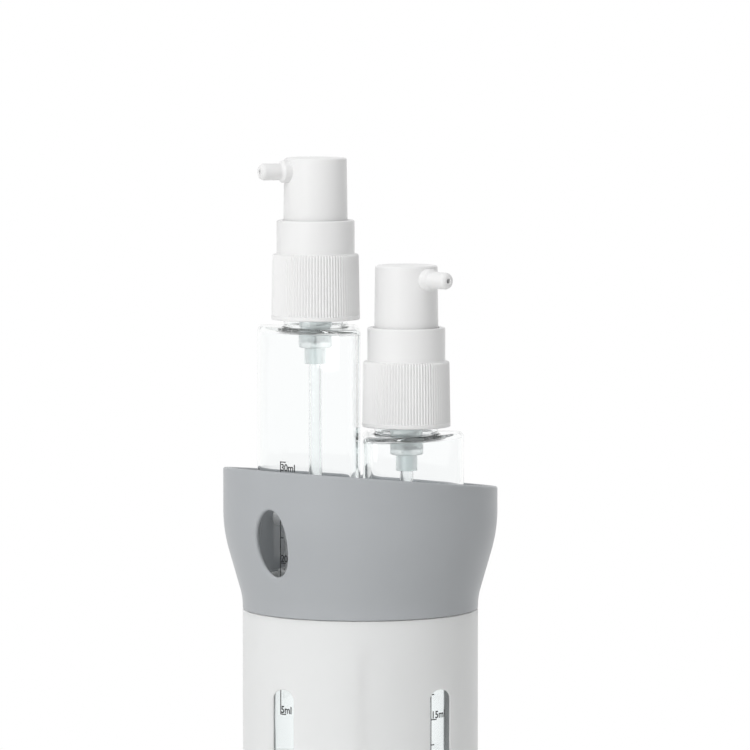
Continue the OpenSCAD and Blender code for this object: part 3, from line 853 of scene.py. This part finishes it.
def add_to_unit(unit, name, kind, body, sheets, material, slot, **smooth):
    """Adds a piece to one unit, in the place of that unit's CAD node of the same kind."""
    place, nodes = placed(sheets, unit), [f"{kind}_{unit}"]
    return add_piece(f"{name}_{unit}", place, material, f"{body}_{unit}", nodes, slot, **smooth)


print("bases of the bottles:", {unit: round(float(base), 2) for unit, base in bases.items()})

# %% Bottles
bottle_r = 25.8
side_gap = 0.3
outer_corner, inner_corner = 4.2, 2.4
bottle_wall = 1.0
base_t = 1.4
edge_r, inner_edge_r = 1.2, 0.6
neck_r, neck_bore = 7.8, 6.4
neck_round, bore_round = 0.7, 0.6
neck_top = shoulder + 13.75
thread_pitch, thread_turns, thread_depth = 3.175, 1.5, 1.0
thread_start = shoulder + 5.2
thread_half, thread_flank = 1.05, 0.55
bottle_angles = around(320)


def quarter_radii(inset, angles):
    """Distance of a quarter's outline from the pump's axis at those angles, with the outline
    moved inwards by the inset. The outline is drawn as arcs and straight runs, filled with points
    and read off by angle."""
    r, side = bottle_r - inset, side_gap + inset
    corner, inner = outer_corner - inset, inner_corner - inset
    x, y = math.sqrt((r - corner) ** 2 - (side + corner) ** 2), side + corner
    lean = math.atan2(y, x)
    arcs = [
        (0, r, lean, np.pi / 2 - lean),
        (y + 1j * x, corner, np.pi / 2 - lean, np.pi),
        ((side + inner) * (1 + 1j), inner, np.pi, 1.5 * np.pi),
        (x + 1j * y, corner, -np.pi / 2, lean),
    ]
    path = np.concatenate([c + q * np.exp(1j * np.linspace(a, b, 200)) for c, q, a, b in arcs])
    path = np.append(path, path[0])
    along = np.concatenate([[0], np.cumsum(abs(np.diff(path)))])
    steps = np.linspace(0, along[-1], 6000)
    way = np.interp(steps, along, path.real) + 1j * np.interp(steps, along, path.imag)
    way -= complex(*pump_axis)
    angle = np.angle(way) % (2 * np.pi)
    order = np.argsort(angle)
    return np.interp(angles, angle[order], abs(way)[order], period=2 * np.pi)


def mixed(shares, ring, circle):
    """Rows between an outline and a circle: (1 - share) outline + share circle."""
    return (1 - shares[:, None]) * ring + shares[:, None] * circle


def bottle_rows(angles):
    """Radii and heights of all rows of the bottle, from the middle of its base over the outside
    to the lip and down the inside to the middle of the base again."""
    arc = np.linspace(0, np.pi / 2, 8)
    across, deep = 1 - np.sin(arc), 1 - np.cos(arc)
    outline = quarter_radii(0, angles)
    top_ring = quarter_radii(edge_r, angles)
    radii, heights = [], []

    def add(rows, levels):
        radii.append(rows)
        heights.append(levels[:, None] + 0 * angles)

    base_shares = np.array([0, 0.3, 0.6, 0.78, 0.84, 0.9, 0.96])
    push_up = 0.7 * np.clip(1 - (base_shares / 0.9) ** 4, 0, 1)
    add(base_shares[:, None] * top_ring, push_up)
    edge_rows = np.array([quarter_radii(edge_r * inset, angles) for inset in across])
    add(edge_rows, edge_r * deep)
    add(np.repeat(outline[None], 7, 0), np.linspace(6, shoulder - 6, 7))
    add(edge_rows[::-1], shoulder - edge_r * deep[::-1])
    add(mixed(np.array([0.3, 0.6, 0.85]), top_ring, neck_r + neck_round), shoulder + np.zeros(3))
    add(neck_r + neck_round * across[:, None] + 0 * angles, shoulder + neck_round * deep)
    thread_z = np.linspace(shoulder + 1.5, neck_top - 0.7, 56)
    thread = 0 * thread_z[:, None] + 0 * angles
    for lap in range(2):
        run = lap + angles / (2 * np.pi)
        away = abs(thread_z[:, None] - thread_start - thread_pitch * run)
        ends = np.clip(np.minimum(run, thread_turns - run) * 12, 0, 1)
        slope = np.clip((thread_half - away) / thread_flank, 0, 1)
        thread = np.maximum(thread, thread_depth * ends * slope)
    add(neck_r + thread, thread_z)
    lip = [(neck_r, neck_top - 0.7, 0), (neck_r, neck_top, 0.45)]
    lip = fillet([*lip, (neck_bore, neck_top, 0.45), (neck_bore, neck_top - 1, 0)])
    add(lip[1:, :1] + 0 * angles, lip[1:, 1])
    under = shoulder - bottle_wall
    inner_ring = quarter_radii(bottle_wall + inner_edge_r, angles)
    add(neck_bore + 0 * arc[:, None] + 0 * angles, np.linspace(neck_top - 3, under + 0.7, 8))
    add(neck_bore + bore_round * deep[:, None] + 0 * angles, under + bore_round * across)
    add(mixed(np.array([0.8, 0.5, 0.25]), inner_ring, neck_bore + bore_round), under + np.zeros(3))
    insets = bottle_wall + inner_edge_r * across
    inside = np.array([quarter_radii(inset, angles) for inset in insets])
    add(inside, under - inner_edge_r * deep)
    add(np.repeat(inside[-1:], 7, 0), np.linspace(under - 6, base_t + 6, 7))
    add(inside[::-1], base_t + inner_edge_r * deep[::-1])
    add(base_shares[::-1, None] * inner_ring, base_t + 0.5 * push_up[::-1])
    return np.concatenate(radii), np.concatenate(heights)


bottle_radii, bottle_heights = bottle_rows(bottle_angles)
bottle_sheet = sheet(turned(bottle_radii, bottle_heights, bottle_angles, pump_axis))
for unit in unit_turns:
    bottle = unit, "clear_bottle", "bottle", "bottle", [bottle_sheet]
    add_to_unit(*bottle, bottle_plastic, "clear_bottle", flat_angle=30)

# %% [markdown]
# The scale is printed on the round side of each bottle: an upright line from five to thirty
# millilitres, a tick every five with its number, and short ticks between. The line and ticks are
# thin boxes that are bent round the bottle. The numbers come from Blender's own font as solid
# letters, and their points are bent in the same way.

# %% Printed scales
ink_r = bottle_r + 0.035
ink_half = 0.01
ml_height = 2.468
scale_zero = {1: 0.22, 2: 0.55, 3: 0.4, 4: 0.4}
scale_angle = {1: 40.4, 2: 40.8, 3: 40.6, 4: 40.6}
first_ml, full_ml = 5, 30
line_w, tick_w = 0.3, 0.26
tick_l, short_l, tick_ml = 1.9, 1.1, 2.5
text_h, text_gap, text_left = 1.75, 0.3, 0.12


def letter_sheet(words, left, low):
    """Solid letters of Blender's font, scaled to the text height, as points (across, up, out) and
    a list of faces."""
    curve = bpy.data.curves.new(words, "FONT")
    curve.body = words
    curve.extrude = 0.05
    curve.offset = 0.02
    lettering = bpy.data.objects.new(words, curve)
    mesh = bpy.data.meshes.new_from_object(lettering)
    points = np.empty(len(mesh.vertices) * 3)
    mesh.vertices.foreach_get("co", points)
    points = points.reshape(-1, 3)
    points *= text_h / points[:, 1].max()
    points[:, 2] *= ink_half / abs(points[:, 2]).max()
    faces = [list(face.vertices) for face in mesh.polygons]
    bpy.data.objects.remove(lettering)
    bpy.data.curves.remove(curve)
    bpy.data.meshes.remove(mesh)
    return points + (left, low, 0), faces


def bar(left, right, low, high):
    """A thin box as points (across, up, out), and its six faces."""
    corners = [(x, y, z) for z in (-ink_half, ink_half) for y in (low, high) for x in (left, right)]
    faces = [(0, 2, 3, 1), (4, 5, 7, 6), (0, 1, 5, 4), (2, 6, 7, 3), (0, 4, 6, 2), (1, 3, 7, 5)]
    return np.array(corners, float), [list(face) for face in faces]


def add_scale(unit):
    """Puts line, ticks and numbers together and bends them: angle = start + across / radius."""
    zero = scale_zero[unit]
    low, high = zero + first_ml * ml_height, zero + full_ml * ml_height
    parts = [bar(-line_w / 2, line_w / 2, low - tick_w / 2, high + tick_w / 2)]
    for ml in np.arange(first_ml, full_ml + 1, tick_ml):
        up = zero + ml * ml_height
        whole = ml % 5 == 0
        parts.append(bar(0, tick_l if whole else short_l, up - tick_w / 2, up + tick_w / 2))
        if whole:
            below = -text_h - text_gap - 0.1 if ml == full_ml else text_gap
            parts.append(letter_sheet(f"{int(ml)}ml", text_left, up + below))
    points = np.concatenate([part[0] for part in parts])
    starts = np.cumsum([0] + [len(part[0]) for part in parts])
    faces = [[i + int(s) for i in face] for part, s in zip(parts, starts) for face in part[1]]
    angle = math.radians(scale_angle[unit] + unit_turns[unit]) + points[:, 0] / ink_r
    bent = turned(ink_r + points[:, 2], points[:, 1] + bases[unit], angle)
    piece = new_object(f"scale_{unit}", bent, faces, ink, f"bottle_{unit}")
    print(f"{piece.name}: {len(piece.data.polygons)} faces")


for unit in unit_turns:
    add_scale(unit)

# %% [markdown]
# The closure carries ninety fine ribs. Each is one wave of a cosine round the skirt, and the rows
# over the ribbed height take the wave's full depth, while the band, the deck and the tower take
# none. The skirt narrows a little upwards, so that it leaves its mould.

# %% Closures
closure_r = np.ptp(box_mm("closure_1"), axis=0)[0] / 2
skirt_bore = closure_r - 1.85
tower_r = closure_r - 1.3
tower_bore = tower_r - 1.35
deck_bore = 5.1
closure_low = shoulder + 1.85
closure_top = closure_low + 16
deck_under = closure_top - 1.6
tower_top = closure_top + 8.2
rib_count, rib_depth = 90, 0.3
rib_top_r = closure_r - 0.3
closure_angles = around(rib_count * 8)
half_way = closure_low + 3
skirt = [
    (skirt_bore, half_way, 0),
    (skirt_bore, closure_low, 0.2),
    (closure_r, closure_low, 0.25),
    (closure_r, closure_low + 1, 0.1),
    (closure_r - 0.05, closure_low + 1.05, 0),
    (rib_top_r, closure_top, 0.6),
    (tower_r, closure_top, 0.25),
    (tower_r, tower_top, 0.45),
    (tower_bore, tower_top, 0.35),
    (tower_bore, closure_top, 0.3),
    (deck_bore, closure_top, 0.15),
    (deck_bore, deck_under, 0.1),
    (skirt_bore, deck_under, 0.4),
    (skirt_bore, half_way, 0),
]
closure_profile = fillet(skirt)
ribbed_low, ribbed_high = closure_low + 1.04, closure_top - 0.05
ribbed = (
    (closure_profile[:, 0] > tower_r + 0.45)
    & (closure_profile[:, 1] > ribbed_low)
    & (closure_profile[:, 1] < ribbed_high)
)
wave = rib_depth * (0.5 - 0.5 * np.cos(rib_count * closure_angles))
closure_radii = closure_profile[:, :1] - ribbed[:, None] * wave
closure_sheet = sheet(turned(closure_radii, closure_profile[:, 1:], closure_angles, pump_axis))
for unit in unit_turns:
    closure = unit, "ribbed_closure", "closure", "closure", [closure_sheet]
    add_to_unit(*closure, pump_plastic, "pump_white")

# %% [markdown]
# The actuator is a thin cap with a shallow dish for the finger. Its nozzle is a second turned
# shape, about a level axis: it starts inside the cap's wall as a thicker boss and ends in a well
# rounded tip with a narrow mouth.

# %% Actuators
actuator_low_r, actuator_top_r = 7.85, 7.6
actuator_wall = 1.2
actuator_under = tower_top - 3.6
nozzle_z = tower_top + 11.85
actuator_top = nozzle_z + 3.3
nozzle_r, nozzle_tip = 2.05, 14.94
boss_r, boss_start = 2.7, 6.7
mouth_r, mouth_end_r, mouth_depth = 0.62, 0.55, 1.6
nozzle_turns = {1: -21, 2: -3, 3: 0, 4: 0}
dish_depth, dish_r = 0.4, 6.6
ceiling = actuator_top - actuator_wall - dish_depth
cap_bore = actuator_low_r - actuator_wall
channel_r, socket_r, post_r = 0.8, 1.95, 3.2
socket_top, post_under = nozzle_z - 6.65, actuator_under + 1.2
dish_shares = np.linspace(1, 0, 12)
dish = np.stack([dish_r * dish_shares, actuator_top - dish_depth * (1 - dish_shares**2)], -1)
cap_outside = fillet(
    [
        (cap_bore, actuator_under + 2, 0),
        (cap_bore, actuator_under, 0.2),
        (actuator_low_r, actuator_under, 0.3),
        (actuator_top_r, actuator_top, 0.6),
        (*dish[0], 0.3),
        (*dish[1], 0),
    ]
)
cap_inside = fillet(
    [
        (0, nozzle_z, 0),
        (channel_r, nozzle_z, 0),
        (channel_r, socket_top, 0),
        (socket_r, socket_top, 0),
        (socket_r, post_under, 0.2),
        (post_r, post_under, 0.2),
        (post_r, ceiling, 0.4),
        (actuator_top_r - actuator_wall, ceiling, 0.5),
        (cap_bore, actuator_under + 2, 0),
    ]
)
actuator_angles = around(160)
cap_sheets = [
    lathe(np.concatenate([cap_outside, dish[2:]]), actuator_angles, pump_axis),
    lathe(cap_inside, actuator_angles, pump_axis),
]
nozzle_profile = fillet(
    [
        (0, boss_start, 0),
        (boss_r, boss_start, 0),
        (boss_r, 9.0, 0.45),
        (nozzle_r, 9.6, 0.6),
        (nozzle_r, nozzle_tip, 1.2),
        (mouth_r, nozzle_tip, 0.12),
        (mouth_end_r, nozzle_tip - mouth_depth, 0),
        (0, nozzle_tip - mouth_depth, 0),
    ],
    steps=8,
)


def nozzle_sheet(turn):
    """The nozzle's profile (radius, distance out) turned about its level axis, which points
    straight outwards plus the turn."""
    around_axis = around(64)
    r, out = nozzle_profile[:, :1], nozzle_profile[:, 1:]
    side, up, out = r * np.cos(around_axis), r * np.sin(around_axis), out + 0 * around_axis
    angle = math.radians(45 + turn)
    x = pump_offset + out * math.cos(angle) - side * math.sin(angle)
    y = pump_offset + out * math.sin(angle) + side * math.cos(angle)
    return sheet(np.stack([x, y, nozzle_z + up], -1))


for unit, turn in nozzle_turns.items():
    head = unit, "pump_head", "actuator", "actuator", [*cap_sheets, nozzle_sheet(turn)]
    add_to_unit(*head, pump_plastic, "pump_white")

# %% [markdown]
# ## Inside the bottles
# Through the clear walls the tinted housing of the pump, its flange and the dip tube can be seen.
# Pieces that stay hidden in there, such as the ball, the stem and the piston, keep the packed
# model's own shapes.

# %% Housings, tubes and springs
inlet_r, barrel_bore, barrel_r, tail_r, flange_r = 0.9, 3.2, 4, 2.6, 8.6
tube_bore, tube_r = 1.1, 1.6
barrel_floor = shoulder - 3.6
barrel_under = shoulder - 5
tail_under = shoulder - 9
flange_under = deck_under - 1.5
tube_low, tube_high = 3.4, barrel_under - 0.35
tube_angles = around(48)
housing = fillet(
    [
        (inlet_r, barrel_floor, 0),
        (barrel_bore, barrel_floor, 0.3),
        (barrel_bore, deck_under, 0),
        (flange_r, deck_under, 0.15),
        (flange_r, flange_under, 0.15),
        (barrel_r, flange_under, 0.2),
        (barrel_r, barrel_under, 0.5),
        (tail_r, barrel_under, 0.3),
        (tail_r, tail_under, 0.3),
        (tube_r, tail_under, 0.15),
        (tube_r, tube_high, 0),
        (inlet_r, tube_high, 0),
        (inlet_r, barrel_floor, 0),
    ]
)


def tube_sheet():
    """The dip tube: an outer and an inner wall that end above in a flat ring, and below in a cut
    across, where height = low end + (across + radius) tan(35 degrees)."""
    radii = np.array([tube_bore, tube_bore, tube_r, tube_r, tube_bore])[:, None]
    at_top = np.array([False, True, True, False, False])[:, None]
    cut = tube_low + (radii * np.cos(tube_angles) + tube_r) * math.tan(math.radians(35))
    return sheet(turned(radii, np.where(at_top, tube_high, cut), tube_angles, pump_axis))


spring_r, wire_r = 2.8, 0.25
spring_low, spring_h, spring_turns = barrel_floor, 7.95, 4.5
closed_share = 0.45


def spring_sheet():
    """A wire along a helix. Its height rises slowly at both ends, where the coils close, and
    evenly between: smoothstep of the share, mixed with the share itself."""
    share = np.linspace(0, 1, 181)[:, None]
    rise = (1 - closed_share) * share + closed_share * share**2 * (3 - 2 * share)
    turn = 2 * np.pi * spring_turns * share
    thick = np.where((share > 0) & (share < 1), wire_r, 0)
    a = around(12)
    radius = spring_r - wire_r + thick * np.cos(a)
    height = spring_low + wire_r + (spring_h - 2 * wire_r) * rise + thick * np.sin(a)
    x = pump_offset + radius * np.cos(turn)
    y = pump_offset + radius * np.sin(turn)
    return sheet(np.stack([x, y, height], -1))


housing_sheet = lathe(housing, around(96), pump_axis)
for unit in unit_turns:
    shell = unit, "housing", "pump_housing", "pump", [housing_sheet]
    tube = unit, "tube", "dip_tube", "pump", [tube_sheet()]
    wire = unit, "spring", "return_spring", "pump", [spring_sheet()]
    add_to_unit(*shell, housing_plastic, "housing_tint")
    add_to_unit(*tube, tube_plastic, "tube_clear")
    coil = add_to_unit(*wire, steel, "steel")
    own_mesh(coil)

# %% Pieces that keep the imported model's shapes
kept = {
    "housing_cap": (pump_plastic, "pump_white"),
    "neck_gasket": (foam_plastic, "gasket_foam"),
    "check_ball": (steel, "steel"),
    "pump_stem": (pump_plastic, "pump_white"),
    "piston_seal": (seal_plastic, "seal_soft"),
}
for kind, (material, slot_name) in kept.items():
    for unit in unit_turns:
        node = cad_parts[f"{kind}_{unit}"]
        node.data.materials.clear()
        node.data.materials.append(material)
print("kept shapes:", len(kept) * len(unit_turns))
